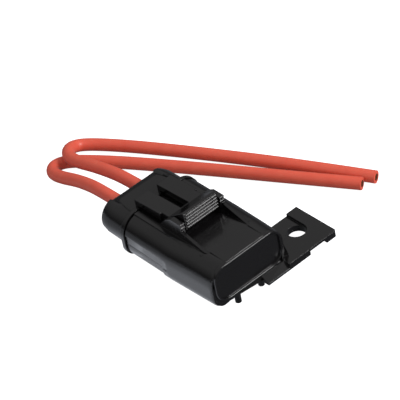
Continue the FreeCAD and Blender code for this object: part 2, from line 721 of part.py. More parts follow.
# Leads

FLOOR = size(f"-{TOP} - foot_length")
ON_FLOOR = FLOOR + size("lead_diameter / 2")
CRIMP = size(f"{COVER_BARREL}")
EXIT = size("exit_spacing / 2")

# Corners of each route from the crimp out to the cut end; both fold back and lie down
LEFT_ROUTE = [
    (CRIMP, -EXIT, 0), (-64.5, -EXIT, 0), (-80.8, -3.7, -3.8), (-97.4, -5.3, -8.0), (-102.6, -2.2, -8.9),
    (-102.5, 3.3, -9.8), (-95.5, 9.2, ON_FLOOR), (-84.5, 16.9, ON_FLOOR), (-60.8, 30.9, ON_FLOOR),
    (-35.3, 45.3, ON_FLOOR), (-9.6, 59.5, ON_FLOOR)]
RIGHT_ROUTE = [
    (CRIMP, EXIT, 0), (-64.5, EXIT, 0), (-80.5, 4.3, -2.4), (-96.0, 2.4, -4.8), (-101.9, 5.2, -5.5),
    (-104.6, 11.2, -9.0), (-99.4, 17.2, ON_FLOOR), (-82.9, 27.1, ON_FLOOR), (-54.0, 42.6, ON_FLOOR),
    (-30.5, 54.6, ON_FLOOR), (-8.2, 64.9, ON_FLOOR)]


def centre_line(route):
    """Straight runs joined by tangent arcs; also the radius of each arc."""
    corners = [Vector(*corner) for corner in route]
    start = corners[0]
    edges = []
    radii = []
    for before, corner, after in zip(corners, corners[1:], corners[2:]):
        back = before - corner
        ahead = after - corner
        reach = 0.45 * min(back.Length, ahead.Length)
        half_turn = (math.pi - back.getAngle(ahead)) / 2
        radius = reach / math.tan(half_turn)
        back.normalize()
        ahead.normalize()
        middle = back + ahead
        middle.normalize()
        enter = corner + back * reach
        leave = corner + ahead * reach
        bulge = corner + middle * (math.hypot(radius, reach) - radius)
        edges.append(Part.LineSegment(start, enter).toShape())
        edges.append(Part.Arc(enter, bulge, leave).toShape())
        radii.append(radius)
        start = leave
    edges.append(Part.LineSegment(start, corners[-1]).toShape())
    return Part.Wire(edges), radii


def make_lead(label, route):
    """Insulated lead as one tube along its route."""
    path, radii = centre_line(route)
    radius = size("lead_diameter / 2")
    ring = Part.Wire(Part.Circle(Vector(*route[0]), Vector(1, 0, 0), radius).toShape())
    lead = doc.addObject("Part::Feature", label)
    lead.Shape = path.makePipeShell([ring], True, False)
    print(label, "length", round(path.Length, 1), "mm, bend radii", [round(value, 1) for value in radii])
    print(label, "volume", round(lead.Shape.Volume, 1), "and section by length",
          round(math.pi * radius ** 2 * path.Length, 1))
    return lead


def make_core(label, sign):
    """Bare end of the conductor inside its barrel."""
    core = Piece(label)
    end = circle(core.sketch("YZ_Plane", COVER_BARREL), f"{sign}{EXIT_PLACE}", "0", "core_diameter")
    core.pad(end, "core_barrel_length + barrel_gap * 1.3")
    return core.body


# Assembly

pieces = [
    make_housing(),
    make_cap(),
    make_latch(),
    make_ring(),
    make_fuse_body(),
    make_fuse_element(),
    make_terminal("terminal_left", "-"),
    make_terminal("terminal_right", ""),
    make_lead_seal("lead_seal_left", "-"),
    make_lead_seal("lead_seal_right", ""),
    make_core("core_left", "-"),
    make_core("core_right", ""),
    make_lead("lead_left", LEFT_ROUTE),
    make_lead("lead_right", RIGHT_ROUTE),
]

# The shared origin is under the middle of the box round everything but the leads
for piece in pieces:
    piece.setExpression("Placement.Base.x", bound(f"-({TAIL} + lug_overhang) / 2"))
    piece.setExpression("Placement.Base.y", bound(f"-({LUG_REACH} - cap_width / 2) / 2"))
    piece.setExpression("Placement.Base.z", bound(f"{TOP} + foot_length"))
doc.recompute()

for item in doc.Objects:
    if "Invalid" in item.State or "Error" in item.State:
        raise RuntimeError(f"{item.Label} did not compute")
for piece in pieces:
    if piece.Shape.isNull() or not piece.Shape.isValid() or not piece.Shape.Solids:
        raise RuntimeError(f"{piece.Label} is not a sound solid")

os.makedirs("parts", exist_ok=True)
for piece in pieces:
    piece.Shape.exportStep(f"parts/{piece.Label}.step")
    print(piece.Label, len(piece.Shape.Solids), "solid,", round(piece.Shape.Volume, 1), "mm3")
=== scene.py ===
# %% [markdown]
# # Inline fuse holder
#
# A small moulded box sits in the middle of a cable and keeps one blade fuse dry. This script
# dresses its solid model for a studio picture. The solids arrive in metres in one shared frame,
# so nothing is moved. The latch and the pieces inside only get a finish. The cap and the housing
# are copied and given a finer outline, and the two leads are drawn as soft curves.

# %% Load the model
import math

import bpy
from mathutils import Matrix, Vector


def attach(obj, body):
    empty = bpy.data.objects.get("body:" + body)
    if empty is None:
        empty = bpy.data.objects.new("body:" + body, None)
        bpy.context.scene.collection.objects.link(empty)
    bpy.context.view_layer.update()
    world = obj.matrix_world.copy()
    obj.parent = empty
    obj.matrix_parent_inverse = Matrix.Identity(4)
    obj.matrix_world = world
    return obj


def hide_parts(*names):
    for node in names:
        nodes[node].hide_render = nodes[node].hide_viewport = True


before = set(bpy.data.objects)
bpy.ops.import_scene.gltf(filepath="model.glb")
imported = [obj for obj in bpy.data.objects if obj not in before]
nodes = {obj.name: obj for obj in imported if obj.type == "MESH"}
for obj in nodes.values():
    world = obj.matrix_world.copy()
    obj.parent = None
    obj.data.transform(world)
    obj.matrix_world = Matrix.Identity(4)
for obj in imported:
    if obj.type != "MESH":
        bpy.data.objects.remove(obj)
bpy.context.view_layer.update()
print("solids:", sorted(nodes))

# %% [markdown]
# ## Camera
#
# The photograph was taken from far away with a long lens, so parallel edges stay nearly
# parallel. The holder lay a little tilted there. Here it stands level, and the camera takes
# the tilt instead: it looks down at 39 degrees and leans 12 degrees to one side. Its place and
# turn were fitted to the picture's corners, which is surer than turning it by eye.

# %% Camera
camera_place = Vector((0.46819, -0.32421, 0.48755))
heading = math.radians(145.621)
elevation = math.radians(39.322)
lean = math.radians(-11.589)
forward = Vector((math.cos(heading) * math.cos(elevation),
                  math.sin(heading) * math.cos(elevation), -math.sin(elevation)))
level_right = Vector((math.sin(heading), -math.cos(heading), 0))
level_up = level_right.cross(forward)
right = level_right * math.cos(lean) + level_up * math.sin(lean)
up = level_up * math.cos(lean) - level_right * math.sin(lean)

camera_data = bpy.data.cameras.new("studio_camera")
camera_data.sensor_width = 36
camera_data.lens = 202.69
camera = bpy.data.objects.new("studio_camera", camera_data)
bpy.context.scene.collection.objects.link(camera)
turned = Matrix((right, up, -forward)).transposed().to_4x4()
camera.matrix_world = Matrix.Translation(camera_place) @ turned
bpy.context.scene.camera = camera
print("camera looks along", [round(part, 3) for part in forward])

# %% [markdown]
# ## Helpers for finishes
#
# Colours are picked as sRGB hex values, as in a paint program, but shaders work in linear
# light, so one function converts them. Another adds a shader node with its settings and links.

# %% Colours and nodes
def linear(hex_colour):
    """Shader colour from an sRGB hex value."""
    channels = [int(hex_colour[i:i + 2], 16) / 255 for i in (1, 3, 5)]
    return [c / 12.92 if c <= 0.04045 else ((c + 0.055) / 1.055) ** 2.4 for c in channels] + [1]


def add_node(tree, kind, settings=None, **links):
    """A shader node; settings are its properties, links its inputs.

    An input goes by its name, with _ for a space, or by its number, such as at0.
    """
    made = tree.nodes.new(kind)
    for name, value in (settings or {}).items():
        setattr(made, name, value)
    for name, value in links.items():
        socket = made.inputs[int(name[2:]) if name.startswith("at") else name.replace("_", " ")]
        if isinstance(value, bpy.types.NodeSocket):
            tree.links.new(value, socket)
        else:
            socket.default_value = value
    return made


# %% Finishes
def new_finish(name):
    """Empty material with its output node."""
    finish = bpy.data.materials.new(name)
    finish.use_nodes = True
    finish.node_tree.nodes.clear()
    output = finish.node_tree.nodes.new("ShaderNodeOutputMaterial")
    return finish, finish.node_tree, output


def show_surface(tree, output, shader):
    """Lead a shader to the output."""
    tree.links.new(shader.outputs[0], output.inputs["Surface"])


def wear(names, finish):
    """Give solids of the model a finish."""
    for name in names:
        slots = nodes[name].data.materials
        slots.clear()
        slots.append(finish)

# %% [markdown]
# ## Black moulded plastic
#
# Housing, cap and latch are glass-filled nylon with a polished mould face. The eye sees almost
# no colour of its own, only clean reflections, slightly wavy where the wall sank as it cooled.
# A plain glossy black would look like glass, so one soft noise drives both the waves and the
# polish. Moulded edges are never knife sharp, so the normal is rounded over a few tenths of a
# millimetre, which costs no faces.

# %% Black moulded plastic
SINK_MARKS_PER_METRE = 90
GRAIN_PER_METRE = 9000
EDGE_ROUND = 0.00022
moulded_nylon, tree, output = new_finish("polished_black_nylon")
place = add_node(tree, "ShaderNodeTexCoord")
sink_marks = add_node(tree, "ShaderNodeTexNoise", Vector=place.outputs["Object"],
                      Scale=SINK_MARKS_PER_METRE, Detail=1.5)
grain = add_node(tree, "ShaderNodeTexNoise", Vector=place.outputs["Object"],
                 Scale=GRAIN_PER_METRE, Detail=2.0)
soft_edge = add_node(tree, "ShaderNodeBevel", {"samples": 6}, Radius=EDGE_ROUND)
waves = add_node(tree, "ShaderNodeBump", Strength=0.35, Distance=0.0002,
                 Height=sink_marks.outputs["Fac"], Normal=soft_edge.outputs["Normal"])
fine = add_node(tree, "ShaderNodeBump", Strength=0.06, Distance=0.00002,
                Height=grain.outputs["Fac"], Normal=waves.outputs["Normal"])
polish = add_node(tree, "ShaderNodeMapRange", Value=sink_marks.outputs["Fac"],
                  To_Min=0.15, To_Max=0.23)
nylon = add_node(tree, "ShaderNodeBsdfPrincipled", Base_Color=linear("#0F0E0F"),
                 Roughness=polish.outputs["Result"], IOR=1.53, Normal=fine.outputs["Normal"])
show_surface(tree, output, nylon)
wear(["housing", "cap", "latch"], moulded_nylon)
print("black mouldings: housing, cap, latch")

# %% [markdown]
# ## Boxier outline of cap and housing
#
# The solids have evenly round flanks. The real mouldings are boxier: wide round shoulders above
# and tight corners below, with a shallow recess low on each flank. They could be modelled anew,
# but the solids already hold every cheek, fin and seam. Cap and housing are therefore copied,
# cut where a new crease is needed, and the points of their skin slide along rays from the
# middle of the flank to the finer outline. In the same go the collar gets thicker and leaves a
# thin gap before the cap's rim, the web beside the lug gets lower, and the screw hole smaller.
# All sizes here are in millimetres from the middle of the cap's front face, as on a drawing.

# %% Drawing and shared frame
DATUM = Vector((26.95, -9.05, 12.0))
MM_PER_METRE = 1000


def to_drawing(place):
    """Point on the drawing, in millimetres, for a place in the shared frame."""
    return place * MM_PER_METRE - DATUM


def to_frame(point):
    """Place in the shared frame, in metres, for a point on the drawing."""
    return (Vector(point) + DATUM) / MM_PER_METRE


# %% Outline of a flank
def reach(u, w, half, crown, keel, upper, lower):
    """Distance from the middle of a flank to its boxy outline, in the direction (u, w).

    The outline has a flat side at half and flat ends at crown above and keel below. Round
    corners join them, with the radius upper above and lower below.
    """
    size = math.hypot(u, w)
    u, w = u / size, w / size
    radius = upper if w >= 0 else lower
    side, level = half - radius, (crown - radius if w >= 0 else radius - keel)
    height = crown if w >= 0 else keel
    if half * abs(w) <= abs(level) * u and w * level >= 0:
        return half / u
    if height * u <= side * abs(w):
        return height / abs(w)
    along = side * u + level * w
    return along + math.sqrt(max(0, along ** 2 - side ** 2 - level ** 2 + radius ** 2))


def between(value, low, high):
    """Share of the way from one value to another, held between 0 and 1."""
    return min(1, max(0, (value - low) / (high - low)))


# %% Selecting as by hand
def open_piece(piece, kind):
    """Open a piece in edit mode, for edges or faces, with nothing selected."""
    if bpy.context.object and bpy.context.object.mode == "EDIT":
        bpy.ops.object.mode_set(mode="OBJECT")
    bpy.ops.object.select_all(action="DESELECT")
    bpy.context.view_layer.objects.active = piece
    piece.select_set(True)
    bpy.context.tool_settings.mesh_select_mode = (False, kind == "EDGE", kind == "FACE")
    bpy.ops.object.mode_set(mode="EDIT")
    bpy.ops.mesh.select_all(action="DESELECT")


def pick(piece, kind, test):
    """Open a piece with those edges or faces selected whose own points pass a test."""
    open_piece(piece, kind)
    bpy.ops.object.mode_set(mode="OBJECT")
    points = [to_drawing(vertex.co) for vertex in piece.data.vertices]
    for item in piece.data.edges if kind == "EDGE" else piece.data.polygons:
        item.select = test([points[index] for index in item.vertices])
    bpy.ops.object.mode_set(mode="EDIT")


# %% Copying, reshaping and finishing
MERGE_DISTANCE = 0.000002


def copy_solid(node, name, cuts=()):
    """Copy of a solid, merged and cut by planes, each a point on the drawing and a normal."""
    piece = bpy.data.objects.new(name, nodes[node].data.copy())
    bpy.context.scene.collection.objects.link(piece)
    open_piece(piece, "FACE")
    bpy.ops.mesh.select_all(action="SELECT")
    bpy.ops.mesh.remove_doubles(threshold=MERGE_DISTANCE)
    for point, normal in cuts:
        bpy.ops.mesh.select_all(action="SELECT")
        bpy.ops.mesh.bisect(plane_co=to_frame(point), plane_no=normal)
    return piece


def reshape(piece, new_point):
    """Move each point of a piece to where a rule puts it."""
    bpy.ops.object.mode_set(mode="OBJECT")
    for vertex in piece.data.vertices:
        vertex.co = to_frame(new_point(to_drawing(vertex.co)))
    bpy.ops.object.mode_set(mode="EDIT")


def finish_edit(piece, angle, smooth=lambda own: True):
    """Merge what fell together, turn the faces outwards, split them and smooth a part."""
    bpy.ops.mesh.select_all(action="SELECT")
    bpy.ops.mesh.remove_doubles(threshold=MERGE_DISTANCE)
    bpy.ops.mesh.normals_make_consistent(inside=False)
    bpy.ops.mesh.quads_convert_to_tris()
    bpy.ops.object.mode_set(mode="OBJECT")
    bpy.ops.object.shade_smooth_by_angle(angle=math.radians(angle))
    points = [to_drawing(vertex.co) for vertex in piece.data.vertices]
    for face in piece.data.polygons:
        face.use_smooth = smooth([points[index] for index in face.vertices])
    piece.select_set(False)
    print(piece.name, len(piece.data.polygons), "faces")


# %% Sizes of the cap
# How close to a plane or a round a point counts as lying on it, how far round a region still
# belongs to it, and how far past a flank's middle a point counts as outward of it
NEAR, NEAR_ROUND, LOOSE, PAST_MIDDLE = 0.02, 0.05, 0.1, 0.01

# Skin: the narrowing nose starts at TAPER, and a crease crosses the top at the fins' tips
TAPER, CREASE = -21.5, -8.8
HALF_HEIGHT = 8
HALF_WIDTH, NOSE_NARROWS = 16.9, 0.7
NEW_HALF_WIDTH, NEW_NOSE_NARROWS = 16.6, 0.9
LOW_CROWN, CROWN_RISE = 7.6, 0.4
UPPER_RADIUS, LOWER_RADIUS = 7.0, 4.6
SKIN_INSIDE, SKIN_OUTSIDE = 7.2, 8.1
SHOULDER_LEVEL, SHOULDER_EDGE = 7.3, 11.2
SKIN_FRONT, SKIN_SIDE = -0.25, 16.7
FRONT_FACE, OLD_BEAD_END, FACE_FOOT = -0.3, 0.5, -7.7
NOSE_ROUND_END, NOSE_ROUND_GROWS = -0.75, 1.57

# Recess low on each flank, with a short slope at its edges
RECESS_FRONT, RECESS_TOP, RECESS_DEPTH, RECESS_SLOPE = -24.4, 1.7, 0.35, 0.15
RECESS_STARTS, RECESS_FULL = 0.5, 2.5

# Lug, its screw hole and sunk seat, and the web that joins it to the front
UNDERSIDE, SUNK_TOP, LUG_TOP, LUG_FRONT, LUG_BACK = -9.0, -7.5, -6.5, 3.3, -15.8
LUG_ROOT, ROOT_LEVEL, NEW_LOW_ROOT, NEW_HIGH_ROOT, NEW_ROOT_FRONT = 16.2, -3, 16.9, 15.9, -0.2
HOLE, HOLE_RADIUS, SEAT_RADIUS, SEAT_END = (-6.1, 26.4), 3.7, 4.5, 30.9
NEW_HOLE, NEW_HOLE_RADIUS, NEW_SEAT_RADIUS, NEW_SEAT_END = (-7.2, 26.9), 3.3, 3.5, 30.4
WEB_LEFT, WEB_RIGHT, WEB_TOP = 4.2, 13.8, -2.5
WEB_HEIGHT, WEB_FALL, NEW_WEB_HEIGHT, NEW_WEB_FALL = 6.5, 2.0, 2.5, 1.8


# %% Lug and web
def new_web_point(x, y, z):
    """The web gets lower, and its back sinks into the front; None for a point elsewhere."""
    on_lug_top = y > WEB_RIGHT - LOOSE and abs(z - LUG_TOP) < NEAR
    in_web = (-NEAR < x < LUG_FRONT + LOOSE and WEB_LEFT - LOOSE < y < WEB_RIGHT + LOOSE
              and z < WEB_TOP + LOOSE)
    if on_lug_top or not in_web:
        return None
    height = WEB_HEIGHT - WEB_FALL * x / LUG_FRONT
    new_height = NEW_WEB_HEIGHT - NEW_WEB_FALL * between(x, 0, LUG_FRONT)
    z = UNDERSIDE + (z - UNDERSIDE) * new_height / height
    in_front = x > OLD_BEAD_END or z < LUG_TOP - LOOSE
    return min(x, LUG_FRONT) if in_front else FRONT_FACE, y, z


def new_lug_point(x, y, z):
    """The lug's root follows the skin, and its hole and seat get smaller and move."""
    if LUG_BACK - LOOSE < x < FRONT_FACE and abs(y - LUG_ROOT) < NEAR:
        x = NEW_ROOT_FRONT if x > NOSE_ROUND_END else x
        return x, NEW_LOW_ROOT if z < ROOT_LEVEL else NEW_HIGH_ROOT, z
    from_hole = math.hypot(x - HOLE[0], y - HOLE[1])
    on_hole = abs(from_hole - HOLE_RADIUS) < NEAR_ROUND
    above_sunk_top = z > SUNK_TOP - LOOSE
    if on_hole or abs(from_hole - SEAT_RADIUS) < NEAR_ROUND and above_sunk_top:
        share = NEW_HOLE_RADIUS / HOLE_RADIUS if on_hole else NEW_SEAT_RADIUS / SEAT_RADIUS
        return NEW_HOLE[0] + (x - HOLE[0]) * share, NEW_HOLE[1] + (y - HOLE[1]) * share, z
    if abs(y - SEAT_END) < NEAR and above_sunk_top:
        return x, NEW_SEAT_END, z
    return x, y, z


# %% Skin of the cap
def new_cap_point(point):
    """Where a point of the cap's skin, front, lug or web goes."""
    x, y, z = point
    web_point = new_web_point(x, y, z)
    if web_point:
        return web_point
    middle = HALF_WIDTH - NOSE_NARROWS * between(x, TAPER, 0) - HALF_HEIGHT
    new_middle = NEW_HALF_WIDTH - NEW_NOSE_NARROWS * between(x, TAPER, 0) - HALF_HEIGHT
    u = abs(y) - middle
    out = math.hypot(u, z)
    if FRONT_FACE - 0.01 < x < OLD_BEAD_END and z > FACE_FOOT:
        x = FRONT_FACE
    behind_crease = z > SHOULDER_LEVEL and x < CREASE
    on_shoulder = behind_crease and abs(y) < SHOULDER_EDGE - NEAR_ROUND
    if u <= PAST_MIDDLE or not SKIN_INSIDE < out < SKIN_OUTSIDE or on_shoulder:
        return new_lug_point(x, y, z)
    crown = LOW_CROWN + CROWN_RISE * between(x, TAPER, CREASE)
    sunk = 0.0
    if x > NOSE_ROUND_END:
        sunk = (HALF_HEIGHT - out) * NOSE_ROUND_GROWS
        x = x * NOSE_ROUND_GROWS if x < FRONT_FACE else x
    elif x < RECESS_FRONT + NEAR and z < RECESS_TOP + NEAR and u > RECESS_STARTS:
        sunk = RECESS_DEPTH * between(u, RECESS_STARTS, RECESS_FULL)
    if behind_crease and abs(y) < SHOULDER_EDGE + NEAR_ROUND:
        aside = abs(y) - new_middle - (HALF_HEIGHT - UPPER_RADIUS)
        return x, y, crown - UPPER_RADIUS + math.sqrt(UPPER_RADIUS ** 2 - aside ** 2)
    far = reach(u, z, HALF_HEIGHT, crown, HALF_HEIGHT, UPPER_RADIUS, LOWER_RADIUS) - sunk
    return x, math.copysign(new_middle + u / out * far, y), z / out * far


def on_round_skin(own):
    """Whether a face is on the round skin and not on the front, the lug or the shoulders."""
    on_skin = all(point.x < SKIN_FRONT and abs(point.y) < SKIN_SIDE for point in own)
    on_shoulder = all(point.z > SHOULDER_LEVEL and abs(point.y) < SHOULDER_EDGE + NEAR_ROUND
                      for point in own)
    return on_skin and not on_shoulder


# %% Cap
ALONG, UPRIGHT = (1, 0, 0), (0, 0, 1)
creases = [((x, 0, 0), ALONG) for x in (CREASE, RECESS_FRONT, RECESS_FRONT + RECESS_SLOPE)]
creases += [((0, 0, z), UPRIGHT) for z in (RECESS_TOP, RECESS_TOP + RECESS_SLOPE)]
cap = copy_solid("cap", "moulded_cap", creases)
for axis, level in ((0, LUG_FRONT), (1, WEB_LEFT), (1, WEB_RIGHT)):
    pick(cap, "FACE", lambda own: all(abs(point[axis] - level) < NEAR for point in own))
    bpy.ops.mesh.dissolve_faces()
reshape(cap, new_cap_point)
finish_edit(cap, 20, on_round_skin)
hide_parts("cap")
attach(cap, "cover")

# %% Sizes of the housing
COLLAR_FRONT, COLLAR_REAR, NEW_COLLAR_REAR, NEW_COLLAR_THICKNESS = -42.45, -43.5, -44.3, 1.5
COLLAR_MIDDLE, COLLAR_RADIUS, NEW_COLLAR_MIDDLE = 8.9, 8, 8.85
SHELL_MIDDLE, SHELL_RADIUS, SHELL_INSIDE = 9.2, 6.6, -1.6
DRAFT = math.tan(math.radians(1.4))
DRAFT_SHARE = 0.79
TAIL, TAIL_ROUND, NEW_ROUND_SHARE = -57.2, 1.55, 0.5
RIDGE_LEVEL, RIDGE_ROUND = 6.299, 0.0007
# Side, crown, keel, and the radii above and below, as reach takes them
NEW_COLLAR = (8, 8, 8.25, 7.25, 4.85)
NEW_SHELL = (6.5, 6.6, 6.6, 7.3, 5.6)


# %% Skin of the housing
def new_housing_point(point):
    """Where a point of the collar or of the shell behind it goes."""
    x, y, z = point
    if COLLAR_REAR - NEAR < x < COLLAR_FRONT + NEAR:
        share = between(x, COLLAR_REAR, COLLAR_FRONT)
        u = abs(y) - COLLAR_MIDDLE
        out = math.hypot(u, z)
        x = NEW_COLLAR_REAR + NEW_COLLAR_THICKNESS * share
        if u > PAST_MIDDLE and abs(out - COLLAR_RADIUS) < NEAR_ROUND:
            far = reach(u, z, *NEW_COLLAR)
            return x, math.copysign(NEW_COLLAR_MIDDLE + u / out * far, y), z / out * far
    if x < COLLAR_REAR + NEAR:
        u = abs(y) - SHELL_MIDDLE
        out = math.hypot(u, z)
        wall = SHELL_RADIUS - DRAFT * (COLLAR_REAR - x)
        if u > PAST_MIDDLE and SHELL_INSIDE < out - wall < NEAR_ROUND:
            far = reach(u, z, *NEW_SHELL) - DRAFT_SHARE * DRAFT * (COLLAR_REAR - x)
            if x < TAIL + TAIL_ROUND:
                far -= (wall - out) * NEW_ROUND_SHARE
                x = TAIL + (x - TAIL) * NEW_ROUND_SHARE
            return x, math.copysign(SHELL_MIDDLE + u / out * far, y), z / out * far
    return x, y, z


# %% Housing
housing = copy_solid("housing", "moulded_housing")
pick(housing, "EDGE", lambda own: all(
    abs(point.x - TAIL) < NEAR and point.z > RIDGE_LEVEL for point in own))
bpy.ops.mesh.bevel(offset=RIDGE_ROUND, segments=4, affect="EDGES")
reshape(housing, new_housing_point)
finish_edit(housing, 20)
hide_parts("housing")
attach(housing, "holder")

# %% [markdown]
# ## Raised rim on the cap's front and boss under the lug
#
# The front face is a shallow tray: a narrow rounded rim runs round it. A round profile swept
# along the tray's edge would do, but a block is quicker to size: its long edges are bevelled
# round, and its front is inset and pushed back. The boss stiffens the screw hole from below. It
# is a ring drawn from two circles, which keeps its hole open.

# %% Raised rim
BEAD_WIDTH, BEAD_TOP, BEAD_FOOT = 29.0, 7.85, -6.5
BEAD_BACK, BEAD_FRONT, BEAD_THICKNESS, TRAY_DEPTH, BEAD_ROUND = -1.25, 0.45, 0.8, 0.7, 0.37
TOP_CORNER, LOW_CORNER = 4.8, 5.6
centre = to_frame(((BEAD_BACK + BEAD_FRONT) / 2, 0, (BEAD_TOP + BEAD_FOOT) / 2))
bpy.ops.mesh.primitive_cube_add(size=1, location=centre)
rim = bpy.context.object
rim.name = rim.data.name = "front_rim"
rim.scale = ((BEAD_FRONT - BEAD_BACK) / MM_PER_METRE, BEAD_WIDTH / MM_PER_METRE,
             (BEAD_TOP - BEAD_FOOT) / MM_PER_METRE)
bpy.ops.object.transform_apply(location=True, rotation=False, scale=True)
for sign, corner in ((1, TOP_CORNER), (-1, LOW_CORNER)):
    pick(rim, "EDGE", lambda own: abs(own[0].x - own[1].x) > NEAR and own[0].z * sign > 0)
    bpy.ops.mesh.bevel(offset=corner / MM_PER_METRE, segments=10, affect="EDGES")
pick(rim, "FACE", lambda own: all(point.x > BEAD_FRONT - NEAR_ROUND for point in own))
bpy.ops.mesh.inset(thickness=BEAD_THICKNESS / MM_PER_METRE)
bpy.ops.mesh.extrude_region_move(
    TRANSFORM_OT_translate={"value": (-TRAY_DEPTH / MM_PER_METRE, 0, 0)})
pick(rim, "EDGE", lambda own: all(point.x > BEAD_FRONT - NEAR_ROUND for point in own))
bpy.ops.mesh.bevel(offset=BEAD_ROUND / MM_PER_METRE, segments=5, affect="EDGES")
finish_edit(rim, 40)

# %% Boss
BOSS_RADIUS, BOSS_HEIGHT = 5.25, 0.9
boss_drop = BOSS_HEIGHT / MM_PER_METRE
bpy.ops.mesh.primitive_circle_add(vertices=64, radius=BOSS_RADIUS / MM_PER_METRE,
                                  fill_type="NOTHING", location=to_frame((*NEW_HOLE, UNDERSIDE)))
boss = bpy.context.object
boss.name = boss.data.name = "lug_boss"
bpy.ops.object.transform_apply(location=True, rotation=False, scale=False)
bpy.ops.object.mode_set(mode="EDIT")
bpy.ops.mesh.select_all(action="SELECT")
bpy.ops.mesh.extrude_edges_move(TRANSFORM_OT_translate={"value": (0, 0, -boss_drop)})
bpy.ops.mesh.extrude_edges_move(TRANSFORM_OT_translate={"value": (0, 0, 0)})
inwards = NEW_HOLE_RADIUS / BOSS_RADIUS
bpy.ops.transform.resize(value=(inwards, inwards, 1),
                         center_override=to_frame((*NEW_HOLE, UNDERSIDE - BOSS_HEIGHT)))
bpy.ops.mesh.extrude_edges_move(TRANSFORM_OT_translate={"value": (0, 0, boss_drop)})
pick(boss, "EDGE", lambda own: all(abs(point.z - UNDERSIDE) < NEAR for point in own))
bpy.ops.mesh.bridge_edge_loops()
finish_edit(boss, 40)
for piece in (rim, boss):
    piece.data.materials.append(moulded_nylon)
    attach(piece, "cover")

# %% [markdown]
# ## Rubber, fuse and metal inside
#
# These pieces show only when the cap slides off. The sealing ring and the lead seals are moulded
# silicone rubber, matt and slightly dusty. The fuse has a tinted polycarbonate head round a
# stamped zinc strip. The terminals are tin-plated brass, with fine rolling lines, and the cores
# are bunched copper wires. Flat colours would do for a first look. Here one noise in each finish
# drives colour, roughness and relief together, because dust, flow and rolling change all three
# in the same places.

# %% Silicone rubber
DUST_PER_METRE = 900
silicone, tree, output = new_finish("moulded_silicone_rubber")
place = add_node(tree, "ShaderNodeTexCoord")
dust = add_node(tree, "ShaderNodeTexNoise", Vector=place.outputs["Object"],
                Scale=DUST_PER_METRE, Detail=4.0)
tint = add_node(tree, "ShaderNodeMix", {"data_type": "RGBA"}, Factor=dust.outputs["Fac"],
                at6=linear("#8E3A2A"), at7=linear("#A6503E"))
matt = add_node(tree, "ShaderNodeMapRange", Value=dust.outputs["Fac"], To_Min=0.55, To_Max=0.72)
pores = add_node(tree, "ShaderNodeBump", Strength=0.1, Distance=0.00003,
                 Height=dust.outputs["Fac"])
rubber = add_node(tree, "ShaderNodeBsdfPrincipled", Base_Color=tint.outputs[2],
                  Roughness=matt.outputs["Result"], IOR=1.41, Normal=pores.outputs["Normal"])
show_surface(tree, output, rubber)
wear(["sealing_ring", "lead_seal_left", "lead_seal_right"], silicone)

# %% Tinted polycarbonate
FLOW_PER_METRE = 160
tinted_head, tree, output = new_finish("tinted_polycarbonate")
place = add_node(tree, "ShaderNodeTexCoord")
flow = add_node(tree, "ShaderNodeTexNoise", Vector=place.outputs["Object"],
                Scale=FLOW_PER_METRE, Detail=2.0, Distortion=0.6)
tint = add_node(tree, "ShaderNodeMix", {"data_type": "RGBA"}, Factor=flow.outputs["Fac"],
                at6=linear("#2E9A4C"), at7=linear("#3BAE5B"))
satin = add_node(tree, "ShaderNodeMapRange", Value=flow.outputs["Fac"], To_Min=0.12, To_Max=0.22)
ripple = add_node(tree, "ShaderNodeBump", Strength=0.2, Distance=0.0001,
                  Height=flow.outputs["Fac"])
clear = add_node(tree, "ShaderNodeBsdfPrincipled", Base_Color=tint.outputs[2],
                 Roughness=satin.outputs["Result"], IOR=1.58, Transmission_Weight=0.35,
                 Normal=ripple.outputs["Normal"])
show_surface(tree, output, clear)
wear(["fuse_body"], tinted_head)


# %% Stamped metals
LENGTHWISE = (0.04, 1, 1)
ROUGHNESS_RANGE = 0.15


def stamped_metal(name, dark, light, lines_per_metre, roughness):
    """Rolled sheet metal with fine lines along its length."""
    finish, tree, output = new_finish(name)
    place = add_node(tree, "ShaderNodeTexCoord")
    along = add_node(tree, "ShaderNodeMapping", Vector=place.outputs["Object"], Scale=LENGTHWISE)
    rolled = add_node(tree, "ShaderNodeTexNoise", Vector=along.outputs["Vector"],
                      Scale=lines_per_metre, Detail=3.0)
    tone = add_node(tree, "ShaderNodeMix", {"data_type": "RGBA"}, Factor=rolled.outputs["Fac"],
                    at6=linear(dark), at7=linear(light))
    rough = add_node(tree, "ShaderNodeMapRange", Value=rolled.outputs["Fac"], To_Min=roughness,
                     To_Max=roughness + ROUGHNESS_RANGE)
    lines = add_node(tree, "ShaderNodeBump", Strength=0.15, Distance=0.00001,
                     Height=rolled.outputs["Fac"])
    metal = add_node(tree, "ShaderNodeBsdfPrincipled", Base_Color=tone.outputs[2], Metallic=1.0,
                     Roughness=rough.outputs["Result"], Normal=lines.outputs["Normal"])
    show_surface(tree, output, metal)
    return finish


zinc = stamped_metal("stamped_zinc", "#A8ABB0", "#C6C8CC", 6000, 0.28)
tinned_brass = stamped_metal("tinned_brass", "#B9A67E", "#D6C8A4", 5000, 0.24)
bunched_copper = stamped_metal("bunched_copper_wire", "#8A4A30", "#C07A55", 4500, 0.32)
wear(["fuse_element"], zinc)
wear(["terminal_left", "terminal_right"], tinned_brass)
wear(["core_left", "core_right"], bunched_copper)
print("finished:", [name for name in nodes if len(nodes[name].data.materials)])

# %% [markdown]
# ## Leads
#
# Red stranded wire under soft PVC. The insulation is extruded, so it is satin and even, with
# very fine lines along it. Each lead leaves the housing straight, folds back on itself and
# lies on the table, cut off at its end. A curve with a round bevel is the natural way to make
# one, because its points say where the lead goes and everything else follows. The picture shows
# no red in the black gloss, so the leads are kept out of it.

